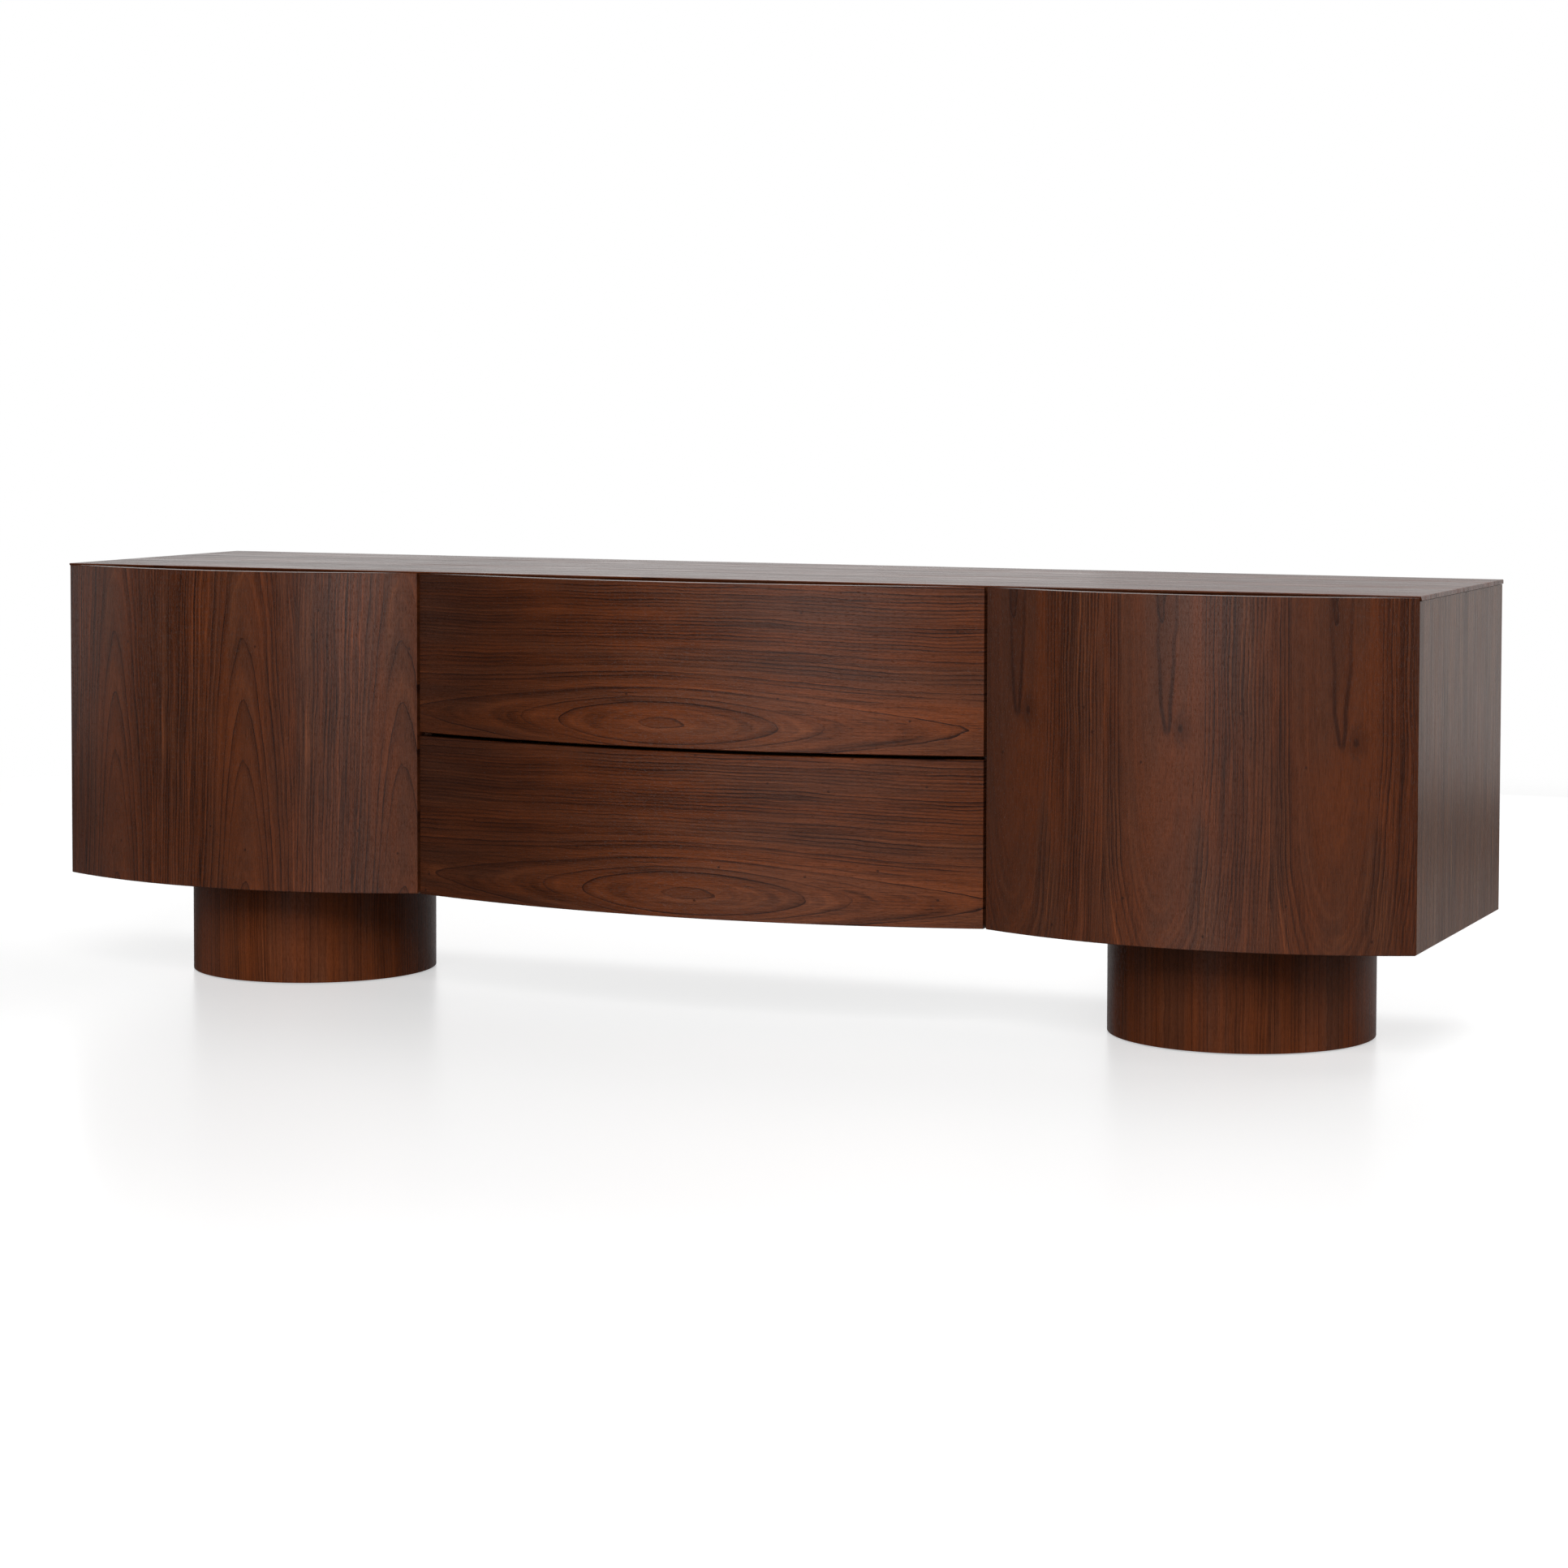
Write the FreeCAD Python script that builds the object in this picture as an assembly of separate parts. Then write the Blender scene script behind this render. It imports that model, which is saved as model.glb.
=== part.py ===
import FreeCAD, Part
import math
import os

# Low media cabinet, 2 m wide, in walnut veneer. A door at each end and two
# stacked drawers in the middle all have bowed fronts that meet in valleys, on
# the straight line between the front corners. The case stands on two round
# drums. Every front is mitred under the straight front edge of the top panel
# and leaves a lens-shaped finger recess behind its own top or bottom edge.
#
# Frame: origin on the floor under the middle of the case, +X to the right as
# seen from the front, +Y towards the back, +Z up. Units are millimetres.

# ---- Driving dimensions ----------------------------------------------------
WIDTH = 2000.0            # over the ends of the top panel
DEPTH = 530.0             # crest of the bowed fronts to the back edge
HEIGHT = 600.0            # floor to the top surface
BOW = 68.0                # how far each front swells past its own ends
VALLEY_X = 422.0          # where the drawer fronts meet the doors
BOARD = 18.0              # case boards and bowed fronts
CASE_BOTTOM_Z = 149.0     # underside of the case, and height of the drums

# Reveals and clearances
TOP_OVERHANG = 1.5        # top panel past each side panel
LAP = 5.8                 # thickness of the top panel's ends over the sides
LAP_GAP = 0.8             # shadow line under the lap
NOSE = 1.4                # thickness of the top panel's front edge
FRONT_TOP_GAP = 0.7       # under the nose, down to the fronts
FRONT_DROP = 1.0          # fronts hang this far below the case
SIDE_GAP = 4.5            # between a door and a drawer front
DRAWER_GAP = 5.0          # between the two drawer fronts
MITRE_GAP = 0.8           # between a door and a side panel
CASE_SETBACK = 21.0       # front line to the front edges of the inner boards
EASE = 0.8                # eased arrises

# Inner boards
BACK_BOARD = 8.0
BACK_REVEAL = 4.0         # back edge of the case to the back boards
REBATE = 8.0              # depth of the rebate round the back boards
SHELF_SIDE_GAP = 1.5
SHELF_FRONT_Y = -160.0
SHELF_DEPTH = 410.0
PIN_R = 2.5
PIN_HOLE_R = 2.6
PIN_IN = 9.0              # length of a shelf pin in the board
PIN_OUT = 9.0             # length that carries the shelf
PIN_PITCH = 32.0
PIN_INSET = 60.0          # front and back edges of the shelf to the pins

# Cable outlets
OUTLET_R = 30.0
OUTLET_Z = 250.0
GROMMET_WALL = 2.8
GROMMET_FLANGE = 5.0

# Doors
RECESS = 35.0             # depth of the finger recess below a front's edge
RAIL = 18.0
LEAF_FRONT = 13.0         # door back board's front face, behind the front line
LEAF = 6.0                # thickness of the door's back board
LEAF_INNER = 18.0         # valley end of a door to the edge of its back board
LEAF_OUTER = 30.0         # corner end of a door to the other edge
DOOR_RAIL_TRIM = 24.0     # ends of the bow to the ends of a door's rail
DOOR_EDGE = 2.0           # lower edge of a door to its lowest rail and its back board
DOOR_TOP_EDGE = 4.0       # top panel down to the upper edge of a door's back board
FILLER_CLEAR = 0.5        # fronts stop this far short of the inner boards

# Hinges, centred on the front corner
HINGE_COUNT = 3
LINK_R_IN = 13.2
LINK_R_OUT = 17.2
LINK_SPAN = 50.5          # degrees each side of the mitre
SLOT_SPAN = 52.0
CUP_SPAN = 54.0
LINK_PLAY = 0.4
CUP_WALL = 1.2
CUP_HEIGHT = 40.0
CUP_END = 3.0             # cup wall above and below the slot
HINGE_INSET = 55.0        # ends of the door to the middle of a hinge

# Drawers
SLIDE_SPACE = 13.0        # partition to drawer box
BOX_BOARD = 14.0
BOX_FRONT = 15.0
BOX_LENGTH = 400.0
BOX_BOTTOM = 8.0
BOX_BOTTOM_LIFT = 10.0
BOX_SIDE_HEIGHT = 150.0
BOX_LIFT = 18.0           # lower edge of the bay to the drawer's sides
SPACER_TRIM = 40.0        # ends of the bow to the ends of a drawer's spacer
SPACER_EDGE = 5.0         # edge of a drawer front to its nearer spacer
SLIDE_METAL = 1.2

# Drums
DRUM_X = 711.0
DRUM_Y = 10.0
DRUM_R = 178.5
DRUM_WALL = 12.0
DRUM_LIFT = 1.5           # rim of the drum above the floor
PAD_HEIGHT = 3.0
PAD_R = 15.0
PAD_RING_R = 148.0
BOLT_RING_R = 120.0
BOLT_R = 4.0
BOLT_HOLE_R = 4.5
BOLT_HEAD_R = 8.0
BOLT_HEAD = 4.0
NUT_R = 7.5               # over the corners
NUT = 6.5
NUT_BORE_R = 4.1

# Back panel screws
SCREW_R = 1.7
SCREW_HOLE_R = 1.9
SCREW_HEAD_R = 3.5
SCREW_HEAD = 2.0
SCREW_LENGTH = 22.0
SCREW_ROWS = 3

# ---- Derived places --------------------------------------------------------
CREST_Y = -DEPTH / 2
BACK_Y = DEPTH / 2
LINE_Y = CREST_Y + BOW                     # straight line between the corners
CASE_FRONT_Y = LINE_Y + CASE_SETBACK
SIDE_X = WIDTH / 2 - TOP_OVERHANG          # outer face of a side panel
SIDE_IN_X = SIDE_X - BOARD
PART_IN_X = VALLEY_X - BOARD / 2           # partition face on the drawer side
PART_OUT_X = VALLEY_X + BOARD / 2          # partition face on the door side
FLOOR_BOARD_TOP = CASE_BOTTOM_Z + BOARD
TOP_UNDER_Z = HEIGHT - BOARD
LAP_Z = HEIGHT - LAP
SIDE_TOP_Z = LAP_Z - LAP_GAP
NOSE_Z = HEIGHT - NOSE
BACK_IN_Y = BACK_Y - BACK_REVEAL - BACK_BOARD
BACK_OUT_Y = BACK_Y - BACK_REVEAL
FRONT_Z0 = CASE_BOTTOM_Z - FRONT_DROP
FRONT_Z1 = NOSE_Z - FRONT_TOP_GAP
DRAWER_SPLIT_Z = (FRONT_Z0 + FRONT_Z1) / 2
BAY_MID_X = (PART_OUT_X + SIDE_IN_X) / 2
SHELF_Z = (FLOOR_BOARD_TOP + TOP_UNDER_Z - BOARD) / 2
LEAF_Y = LINE_Y + LEAF_FRONT
BOX_X = PART_IN_X - SLIDE_SPACE            # outer face of a drawer side
BOX_Y = LEAF_Y + BOX_FRONT                 # front end of a drawer side
FAR = 3000.0                               # longer than the whole cabinet


# ---- Helpers ---------------------------------------------------------------
def vec(x, y, z):
    return FreeCAD.Vector(x, y, z)


def box(x0, x1, y0, y1, z0, z1):
    return Part.makeBox(x1 - x0, y1 - y0, z1 - z0, vec(x0, y0, z0))


def prism_z(points, z0, z1):
    """Upright prism over a polygon of (x, y) points."""
    corners = [vec(x, y, z0) for x, y in points]
    face = Part.Face(Part.makePolygon(corners + corners[:1]))
    return face.extrude(vec(0, 0, z1 - z0))


def prism_x(points, x0, x1):
    """Prism along X over a polygon of (y, z) points."""
    corners = [vec(x0, y, z) for y, z in points]
    face = Part.Face(Part.makePolygon(corners + corners[:1]))
    return face.extrude(vec(x1 - x0, 0, 0))


def post(x, y, z0, z1, radius):
    """Upright round bar."""
    return Part.makeCylinder(radius, z1 - z0, vec(x, y, z0), vec(0, 0, 1))


def bar_x(x0, x1, y, z, radius):
    """Round bar along X."""
    return Part.makeCylinder(radius, x1 - x0, vec(x0, y, z), vec(1, 0, 0))


def bar_y(y0, y1, x, z, radius):
    """Round bar along Y."""
    return Part.makeCylinder(radius, y1 - y0, vec(x, y0, z), vec(0, 1, 0))


def mirrored(shape):
    """The same piece on the other side of the cabinet."""
    return shape.mirror(vec(0, 0, 0), vec(1, 0, 0))


def both_sides(shape):
    return [shape, mirrored(shape)]


def group(shapes):
    """Several separate solids in one node."""
    return Part.makeCompound(shapes)


def eased(shape, wanted):
    """Chamfer the edges that the test picks by their lowest and highest corner."""
    edges = [edge for edge in shape.Edges if wanted(edge.BoundBox)]
    return shape.makeChamfer(EASE, edges)


def save(name, shape):
    shape.exportStep(os.path.join("parts", name + ".step"))
    volume = shape.Volume / 1e6
    print(f"{name:28s} solids {len(shape.Solids):2d}  {volume:8.3f} l  valid {shape.isValid()}")


# ---- Bowed fronts ----------------------------------------------------------
def bow_disc(x0, x1, z0, z1, inset):
    """The whole round disc whose rim is the bow from x0 to x1, shrunk by inset."""
    half = (x1 - x0) / 2
    radius = (half * half + BOW * BOW) / (2 * BOW)
    return post((x0 + x1) / 2, CREST_Y + radius, z0, z1, radius - inset)


def under_nose(z_at_line):
    """Everything in front of the 45 degree slope that runs back and down."""
    low = -FAR
    return prism_x([(CREST_Y - BOW, low), (z_at_line + LINE_Y - low, low),
                    (LINE_Y, z_at_line), (CREST_Y - BOW, z_at_line)], -FAR, FAR)


def bowed_front(x0, x1, z0, z1, clip):
    """Bent panel one board thick, cut to the outline clip, with eased arrises."""
    shell = bow_disc(x0, x1, z0, z1, 0).cut(bow_disc(x0, x1, z0, z1, BOARD))
    panel = shell.common(clip)
    return eased(panel, lambda b: b.ZLength < 1e-3 and b.YMin < CREST_Y + 1e-2 and b.XLength > x1 - x0 - 60)


def bow_filler(x0, x1, trim, z0, z1):
    """Lens-shaped piece between the back of a bent panel and the leaf plane."""
    block = box(x0 + trim, x1 - trim, CREST_Y, LEAF_Y, z0, z1)
    return block.common(bow_disc(x0, x1, z0, z1, BOARD))


# ---- Mitre and hinges at the right front corner ----------------------------
HALF_DOOR = (SIDE_X - VALLEY_X) / 2
DOOR_R = (HALF_DOOR * HALF_DOOR + BOW * BOW) / (2 * BOW)
BOW_END = math.degrees(math.asin(HALF_DOOR / DOOR_R))      # slope of the bow there
CORNER = 90.0 + BOW_END                                    # angle of the corner
MITRE = 90.0 + CORNER / 2                                  # direction, from +X
MITRE_X = math.cos(math.radians(MITRE))
MITRE_Y = math.sin(math.radians(MITRE))


def beside_mitre(sign, z0, z1):
    """Half of space on the door side (+1) or the side panel side (-1) of the mitre."""
    reach = FAR
    off_x = -MITRE_Y * sign
    off_y = MITRE_X * sign
    gap = MITRE_GAP / 2
    near_x = SIDE_X + off_x * gap
    near_y = LINE_Y + off_y * gap
    points = [(near_x - MITRE_X * reach, near_y - MITRE_Y * reach),
              (near_x + MITRE_X * reach, near_y + MITRE_Y * reach),
              (near_x + MITRE_X * reach + off_x * reach, near_y + MITRE_Y * reach + off_y * reach),
              (near_x - MITRE_X * reach + off_x * reach, near_y - MITRE_Y * reach + off_y * reach)]
    return prism_z(points, z0, z1)


def corner_sector(radius_in, radius_out, span, z0, z1):
    """Ring sector round the corner, reaching span degrees each side of the mitre."""
    sector = Part.makeCylinder(radius_out, z1 - z0, vec(SIDE_X, LINE_Y, z0), vec(0, 0, 1), 2 * span)
    sector.rotate(vec(SIDE_X, LINE_Y, 0), vec(0, 0, 1), MITRE - span)
    return sector.cut(post(SIDE_X, LINE_Y, z0, z1, radius_in))


def hinge_heights():
    low = FRONT_Z0 + HINGE_INSET
    high = FRONT_Z1 - HINGE_INSET
    step = (high - low) / (HINGE_COUNT - 1)
    return [low + step * i for i in range(HINGE_COUNT)]


def hinge_blank(z):
    """Outer shape of one hinge, both cups together."""
    return corner_sector(LINK_R_IN - LINK_PLAY - CUP_WALL, LINK_R_OUT + LINK_PLAY + CUP_WALL,
                         CUP_SPAN, z - CUP_HEIGHT / 2, z + CUP_HEIGHT / 2)


def hinge_cup(z, sign):
    slot_half = CUP_HEIGHT / 2 - CUP_END
    slot = corner_sector(LINK_R_IN - LINK_PLAY, LINK_R_OUT + LINK_PLAY, SLOT_SPAN,
                         z - slot_half, z + slot_half)
    return hinge_blank(z).cut(slot).common(beside_mitre(sign, 0, HEIGHT))


def hinge_link(z):
    half = CUP_HEIGHT / 2 - CUP_END - LINK_PLAY
    return corner_sector(LINK_R_IN, LINK_R_OUT, LINK_SPAN, z - half, z + half)


def hinge_pockets():
    return group([hinge_blank(z) for z in hinge_heights()])


def make_hinges():
    side_cups = group([hinge_cup(z, -1) for z in hinge_heights()])
    door_cups = group([hinge_cup(z, 1) for z in hinge_heights()])
    links = group([hinge_link(z) for z in hinge_heights()])
    for side, place in (("right", lambda s: s), ("left", mirrored)):
        save("hinge_cups_" + side, place(side_cups))
        save("door_hinge_cups_" + side, place(door_cups))
        save("hinge_links_" + side, place(links))


# ---- Case ------------------------------------------------------------------
def shelf_pin_places():
    """(y, z) of the shelf pins in use, front and back."""
    z = SHELF_Z - PIN_R
    return [(SHELF_FRONT_Y + PIN_INSET, z), (SHELF_FRONT_Y + SHELF_DEPTH - PIN_INSET, z)]


def pin_holes(x0, x1):
    """Holes for the shelf pins, at three heights."""
    return group([bar_x(x0, x1, y, z + PIN_PITCH * row, PIN_HOLE_R)
                  for y, z in shelf_pin_places() for row in (-1, 0, 1)])


def screw_heights():
    low = FLOOR_BOARD_TOP + 40
    high = TOP_UNDER_Z - 40
    step = (high - low) / (SCREW_ROWS - 1)
    return [low + step * i for i in range(SCREW_ROWS)]


def screw_columns():
    """X of the screws on the right half: in both halves of a partition's edge, and in the side."""
    return [VALLEY_X - BOARD / 4, VALLEY_X + BOARD / 4, SIDE_IN_X + REBATE / 2]


def screw_places():
    return [(x * sign, z) for sign in (1, -1) for x in screw_columns() for z in screw_heights()]


def screw_bars(radius):
    return group([bar_y(BACK_OUT_Y - SCREW_LENGTH, BACK_OUT_Y, x, z, radius) for x, z in screw_places()])


def make_top_panel():
    slope = BOARD - NOSE
    lap_slope = LAP - NOSE
    middle = prism_x([(LINE_Y, HEIGHT), (BACK_Y, HEIGHT), (BACK_Y, TOP_UNDER_Z + REBATE),
                      (BACK_IN_Y, TOP_UNDER_Z + REBATE), (BACK_IN_Y, TOP_UNDER_Z),
                      (LINE_Y + slope, TOP_UNDER_Z), (LINE_Y, NOSE_Z)], -SIDE_IN_X, SIDE_IN_X)
    lap = prism_x([(LINE_Y, HEIGHT), (BACK_Y, HEIGHT), (BACK_Y, LAP_Z),
                   (LINE_Y + lap_slope, LAP_Z), (LINE_Y, NOSE_Z)], SIDE_IN_X, WIDTH / 2)
    top = middle.fuse(both_sides(lap)).removeSplitter()
    save("top_panel", eased(top, lambda b: b.ZMin > HEIGHT - 1e-3))


def make_bottom_panel():
    panel = box(-SIDE_IN_X, SIDE_IN_X, CASE_FRONT_Y, BACK_Y, CASE_BOTTOM_Z, FLOOR_BOARD_TOP)
    rebate = box(-SIDE_IN_X, SIDE_IN_X, BACK_IN_Y, BACK_Y, FLOOR_BOARD_TOP - REBATE, FLOOR_BOARD_TOP)
    holes = group([post(x, y, CASE_BOTTOM_Z, FLOOR_BOARD_TOP, BOLT_HOLE_R) for x, y in bolt_places()])
    save("bottom_panel", panel.cut(rebate).cut(holes))


def make_side_panels():
    board = box(SIDE_IN_X, SIDE_X, LINE_Y, BACK_Y, CASE_BOTTOM_Z, SIDE_TOP_Z)
    rebate = box(SIDE_IN_X, SIDE_IN_X + REBATE, BACK_IN_Y, BACK_Y, FLOOR_BOARD_TOP - REBATE, SIDE_TOP_Z)
    panel = board.cut(rebate).common(beside_mitre(-1, 0, HEIGHT))
    panel = panel.cut(hinge_pockets()).cut(pin_holes(SIDE_IN_X, SIDE_IN_X + PIN_IN + 1))
    panel = panel.cut(screw_bars(SCREW_R))
    save("side_panel_right", panel)
    save("side_panel_left", mirrored(panel))


def make_partitions():
    board = box(PART_IN_X, PART_OUT_X, CASE_FRONT_Y, BACK_IN_Y, FLOOR_BOARD_TOP, TOP_UNDER_Z)
    board = board.cut(pin_holes(PART_OUT_X - PIN_IN - 1, PART_OUT_X)).cut(screw_bars(SCREW_R))
    save("partition_right", board)
    save("partition_left", mirrored(board))


def make_back_panels():
    z0 = FLOOR_BOARD_TOP - REBATE
    z1 = TOP_UNDER_Z + REBATE
    joint_gap = 0.4
    outlet = bar_y(BACK_IN_Y, BACK_OUT_Y, BAY_MID_X, OUTLET_Z, OUTLET_R)
    holes = screw_bars(SCREW_HOLE_R)
    right = box(VALLEY_X + joint_gap, SIDE_IN_X + REBATE, BACK_IN_Y, BACK_OUT_Y, z0, z1)
    right = right.cut(outlet).cut(holes)
    centre = box(-VALLEY_X + joint_gap, VALLEY_X - joint_gap, BACK_IN_Y, BACK_OUT_Y, z0, z1)
    save("back_panel_right", right)
    save("back_panel_left", mirrored(right))
    save("back_panel_centre", centre.cut(holes))


def make_back_screws():
    heads = [bar_y(BACK_OUT_Y, BACK_OUT_Y + SCREW_HEAD, x, z, SCREW_HEAD_R) for x, z in screw_places()]
    slot = SCREW_HEAD_R * 1.3
    screws = []
    for (x, z), head in zip(screw_places(), heads):
        shank = bar_y(BACK_OUT_Y - SCREW_LENGTH, BACK_OUT_Y, x, z, SCREW_R)
        y = BACK_OUT_Y + SCREW_HEAD / 2
        across = box(x - slot / 2, x + slot / 2, y, BACK_Y, z - 0.4, z + 0.4)
        upright = box(x - 0.4, x + 0.4, y, BACK_Y, z - slot / 2, z + slot / 2)
        screws.append(head.fuse(shank).cut(across).cut(upright))
    save("back_screws", group(screws))


def make_cable_grommets():
    tube = bar_y(BACK_IN_Y, BACK_OUT_Y, BAY_MID_X, OUTLET_Z, OUTLET_R - 0.2)
    flange = bar_y(BACK_OUT_Y, BACK_OUT_Y + 2.0, BAY_MID_X, OUTLET_Z, OUTLET_R + GROMMET_FLANGE)
    bore = bar_y(BACK_IN_Y, BACK_Y, BAY_MID_X, OUTLET_Z, OUTLET_R - GROMMET_WALL)
    save("cable_grommets", group(both_sides(tube.fuse(flange).cut(bore))))


def make_shelves():
    shelf = box(PART_OUT_X + SHELF_SIDE_GAP, SIDE_IN_X - SHELF_SIDE_GAP, SHELF_FRONT_Y,
                SHELF_FRONT_Y + SHELF_DEPTH, SHELF_Z, SHELF_Z + BOARD)
    save("shelf_right", shelf)
    save("shelf_left", mirrored(shelf))
    pins = []
    for y, z in shelf_pin_places():
        pins.append(bar_x(PART_OUT_X - PIN_IN, PART_OUT_X + PIN_OUT, y, z, PIN_R))
        pins.append(bar_x(SIDE_IN_X - PIN_OUT, SIDE_IN_X + PIN_IN, y, z, PIN_R))
    save("shelf_pins", group(pins + [mirrored(pin) for pin in pins]))


CATCH_X = PART_OUT_X + 20.0
CATCH_LENGTH = 46.0
CATCH_DEPTH = 14.0
STRIKE = 1.4
TOUCH_GAP = 0.5           # doors closed, between a door and what it closes on


def make_catches_and_bumpers():
    """Magnetic catches under the top panel, and soft bumpers on the bottom panel's edge."""
    leaf_back = LEAF_Y + LEAF
    catch_y = leaf_back + STRIKE + TOUCH_GAP
    catch = box(CATCH_X, CATCH_X + CATCH_LENGTH, catch_y, catch_y + CATCH_DEPTH,
                TOP_UNDER_Z - CATCH_DEPTH, TOP_UNDER_Z)
    save("door_catches", group(both_sides(catch)))
    bumpers = []
    for x in (PART_OUT_X + 40, SIDE_IN_X - 80):
        middle_z = (CASE_BOTTOM_Z + FLOOR_BOARD_TOP) / 2
        bumpers += both_sides(bar_y(leaf_back + TOUCH_GAP, CASE_FRONT_Y, x, middle_z, 4.0))
    save("door_bumpers", group(bumpers))


# ---- Doors -----------------------------------------------------------------
def make_doors():
    inner_x = VALLEY_X + SIDE_GAP / 2
    clip = box(inner_x, FAR, CREST_Y - 1, CASE_FRONT_Y - FILLER_CLEAR, FRONT_Z0, FRONT_Z1)
    front = bowed_front(VALLEY_X, SIDE_X, FRONT_Z0, FRONT_Z1, clip)
    front = front.common(beside_mitre(1, 0, HEIGHT)).common(under_nose(FRONT_Z1))
    front = front.cut(hinge_pockets())
    rails = []
    for z in (FRONT_Z0 + DOOR_EDGE, (FRONT_Z0 + FRONT_Z1 - RECESS) / 2 - RAIL / 2, FRONT_Z1 - RECESS - RAIL):
        rails.append(bow_filler(VALLEY_X, SIDE_X, DOOR_RAIL_TRIM, z, z + RAIL))
    leaf = box(VALLEY_X + LEAF_INNER, SIDE_X - LEAF_OUTER, LEAF_Y, LEAF_Y + LEAF,
               FRONT_Z0 + DOOR_EDGE, TOP_UNDER_Z - DOOR_TOP_EDGE)
    strike = box(CATCH_X + 3, CATCH_X + CATCH_LENGTH - 3, LEAF_Y + LEAF, LEAF_Y + LEAF + STRIKE,
                 TOP_UNDER_Z - CATCH_DEPTH, TOP_UNDER_Z - 5)
    for side, place in (("right", lambda s: s), ("left", mirrored)):
        save("door_front_" + side, place(front))
        save("door_rails_" + side, place(group(rails)))
        save("door_back_" + side, place(leaf))
        save("door_strike_" + side, place(strike))


# ---- Drawers and slides ----------------------------------------------------
def slide_channel(web0, web1, lip0, lip1, half_height, y0, y1, z):
    """Pressed channel for the right-hand slide; distances run from the partition inwards."""
    def at(distance):
        return PART_IN_X - distance
    web = box(at(web1), at(web0), y0, y1, z - half_height, z + half_height)
    upper = box(at(lip1), at(lip0), y0, y1, z + half_height - SLIDE_METAL, z + half_height)
    lower = box(at(lip1), at(lip0), y0, y1, z - half_height, z - half_height + SLIDE_METAL)
    return web.fuse([upper, lower]).removeSplitter()


def make_slides(name, z):
    """Outer member on the partition, middle member, inner member on the drawer."""
    y0 = BOX_Y + 1.0
    y1 = y0 + BOX_LENGTH - 2.0
    outer = slide_channel(0, SLIDE_METAL, 0, 10.5, 22.5, y0, y1, z)
    middle = slide_channel(5.0, 5.0 + SLIDE_METAL, 2.6, 10.5, 16.0, y0, y1, z)
    inner = slide_channel(SLIDE_SPACE - SLIDE_METAL, SLIDE_SPACE, 7.6, SLIDE_SPACE, 12.0, y0, y1, z)
    save("slide_outer_" + name, group(both_sides(outer)))
    save("slide_middle_" + name, group(both_sides(middle)))
    save("slide_inner_" + name, group(both_sides(inner)))


def make_drawer(name, front_z0, front_z1, rail_zs, box_front_z0, box_front_z1, side_z0):
    half = VALLEY_X - SIDE_GAP / 2
    clip = box(-half, half, CREST_Y - 1, CASE_FRONT_Y - FILLER_CLEAR, front_z0, front_z1)
    front = bowed_front(-VALLEY_X, VALLEY_X, front_z0, front_z1, clip).common(under_nose(FRONT_Z1))
    spacers = [bow_filler(-VALLEY_X, VALLEY_X, SPACER_TRIM, z, z + RAIL) for z in rail_zs]
    box_front = box(-BOX_X, BOX_X, LEAF_Y, BOX_Y, box_front_z0, box_front_z1)
    side = box(BOX_X - BOX_BOARD, BOX_X, BOX_Y, BOX_Y + BOX_LENGTH, side_z0, side_z0 + BOX_SIDE_HEIGHT)
    inner_half = BOX_X - BOX_BOARD
    back = box(-inner_half, inner_half, BOX_Y + BOX_LENGTH - BOX_BOARD, BOX_Y + BOX_LENGTH,
               side_z0, side_z0 + BOX_SIDE_HEIGHT)
    bottom_z = side_z0 + BOX_BOTTOM_LIFT
    bottom = box(-inner_half, inner_half, BOX_Y, BOX_Y + BOX_LENGTH - BOX_BOARD,
                 bottom_z, bottom_z + BOX_BOTTOM)
    save("drawer_front_" + name, front)
    save("drawer_spacers_" + name, group(spacers))
    save("drawer_box_front_" + name, box_front)
    save("drawer_side_right_" + name, side)
    save("drawer_side_left_" + name, mirrored(side))
    save("drawer_back_" + name, back)
    save("drawer_bottom_" + name, bottom)
    make_slides(name, side_z0 + BOX_SIDE_HEIGHT / 2)


def make_drawers():
    upper_z0 = DRAWER_SPLIT_Z + DRAWER_GAP / 2
    lower_z1 = DRAWER_SPLIT_Z - DRAWER_GAP / 2
    make_drawer("upper", upper_z0, FRONT_Z1, [upper_z0 + SPACER_EDGE, FRONT_Z1 - RECESS - RAIL],
                upper_z0 + 10, TOP_UNDER_Z - 7, upper_z0 + BOX_LIFT)
    make_drawer("lower", FRONT_Z0, lower_z1, [FRONT_Z0 + RECESS, lower_z1 - RAIL - SPACER_EDGE],
                FLOOR_BOARD_TOP + 5, lower_z1 - 5, FLOOR_BOARD_TOP + BOX_LIFT)


# ---- Drums -----------------------------------------------------------------
def ring_places(radius):
    """Four (x, y) places round each drum's middle, on the diagonals."""
    places = []
    for sign in (1, -1):
        for quarter in range(4):
            angle = math.radians(45 + 90 * quarter)
            places.append((sign * DRUM_X + radius * math.cos(angle), DRUM_Y + radius * math.sin(angle)))
    return places


def bolt_places():
    return ring_places(BOLT_RING_R)


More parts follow.
